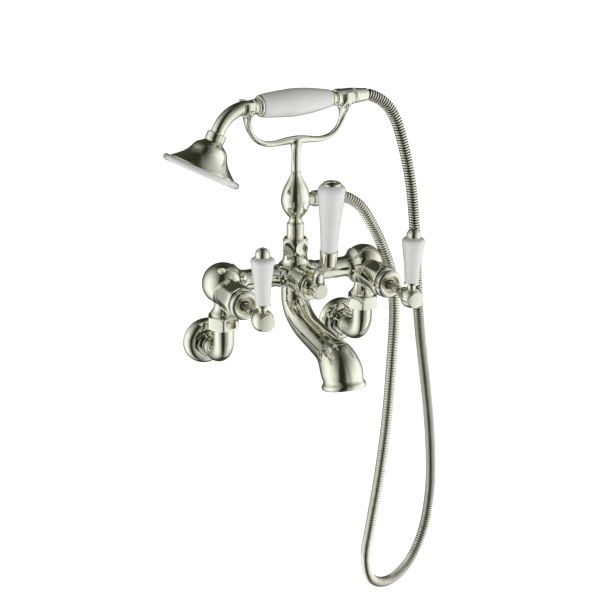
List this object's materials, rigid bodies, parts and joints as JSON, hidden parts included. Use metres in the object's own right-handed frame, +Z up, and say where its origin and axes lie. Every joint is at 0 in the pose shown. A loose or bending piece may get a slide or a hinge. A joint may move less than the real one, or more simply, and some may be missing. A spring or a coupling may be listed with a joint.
{
  "type": "wall mounted bath shower mixer",
  "caption": "Wall mounted bath and shower mixer with swan-neck inlets, lever valves, a diverter lever, a curved spout and a telephone handset on a cradle with a metal hose.",
  "frame": {"origin": "on the wall, midway between the two wall inlets, at the height of their axes", "axes": "+X to the right as seen from the room, +Y into the wall, +Z up"},
  "size_m": [0.3814, 0.2295, 0.67],
  "materials": {
    "polished_nickel": "polished",
    "spray_nickel": "satin",
    "hose_metal": "polished",
    "white_ceramic": "gloss",
    "technical_ceramic": "satin",
    "plain_brass": "satin",
    "seal_rubber": "matte",
    "fibre_washer": "matte",
    "white_plastic": "satin"
  },
  "bodies": {
    "mixer": {"wall_flange_left": "polished_nickel", "wall_flange_right": "polished_nickel", "inlet_elbow_left": "polished_nickel", "inlet_elbow_right": "polished_nickel", "union_nut_left": "polished_nickel", "union_nut_right": "polished_nickel", "union_washers": "fibre_washer", "valve_body_left": "polished_nickel", "valve_body_right": "polished_nickel", "tapping_plug": "polished_nickel", "cartridge_left": "plain_brass", "cartridge_right": "plain_brass", "ceramic_disc_left": "technical_ceramic", "ceramic_disc_right": "technical_ceramic", "spindle_seals": "seal_rubber", "bonnet_left": "polished_nickel", "bonnet_right": "polished_nickel", "shroud_left": "polished_nickel", "shroud_right": "polished_nickel", "bridge_bar_left": "polished_nickel", "bridge_bar_right": "polished_nickel", "centre_body": "polished_nickel", "diverter_bezel": "polished_nickel", "diverter_cartridge": "plain_brass", "diverter_shroud": "polished_nickel", "spout": "polished_nickel", "spout_insert": "white_plastic", "collar_nut": "polished_nickel", "riser_tube": "polished_nickel", "riser_bulb": "polished_nickel", "cradle_yoke": "polished_nickel", "check_valve": "white_plastic", "outlet_washer": "seal_rubber", "outlet_hose_nut": "polished_nickel", "hose": "hose_metal"},
    "lever_left": {"spindle_left": "polished_nickel", "lever_hub_left": "polished_nickel", "lever_ceramic_left": "white_ceramic", "lever_rod_left": "plain_brass", "lever_finial_left": "polished_nickel"},
    "lever_right": {"spindle_right": "polished_nickel", "lever_hub_right": "polished_nickel", "lever_ceramic_right": "white_ceramic", "lever_rod_right": "plain_brass", "lever_finial_right": "polished_nickel"},
    "diverter_lever": {"diverter_spindle": "polished_nickel", "diverter_arm": "polished_nickel", "diverter_collar": "polished_nickel", "diverter_ceramic": "white_ceramic", "diverter_rod": "plain_brass", "diverter_cap": "polished_nickel"},
    "handset": {"handset_elbow": "polished_nickel", "handle_ring": "polished_nickel", "handle_ceramic": "white_ceramic", "handle_ferrule": "polished_nickel", "handset_tube": "plain_brass", "handset_hose_nut": "polished_nickel", "rose_bell": "polished_nickel", "rose_ring": "white_ceramic", "spray_plate": "spray_nickel"}
  },
  "joints": [
    {"name": "left_lever_turn", "type": "hinge", "parent": "mixer", "child": "lever_left", "pos_m": [-0.09, -0.15, 0.084], "axis": [0, -1, 0], "range_deg": [0, 90]},
    {"name": "right_lever_turn", "type": "hinge", "parent": "mixer", "child": "lever_right", "pos_m": [0.09, -0.15, 0.084], "axis": [0, 1, 0], "range_deg": [0, 90]},
    {"name": "diverter_turn", "type": "hinge", "parent": "mixer", "child": "diverter_lever", "pos_m": [0, -0.12, 0.0885], "axis": [0, 1, 0], "range_deg": [-35, 35]},
    {"name": "handset_lift", "type": "slide", "parent": "mixer", "child": "handset", "axis": [0, 0, 1], "range_m": [0, 0.12]}
  ]
}
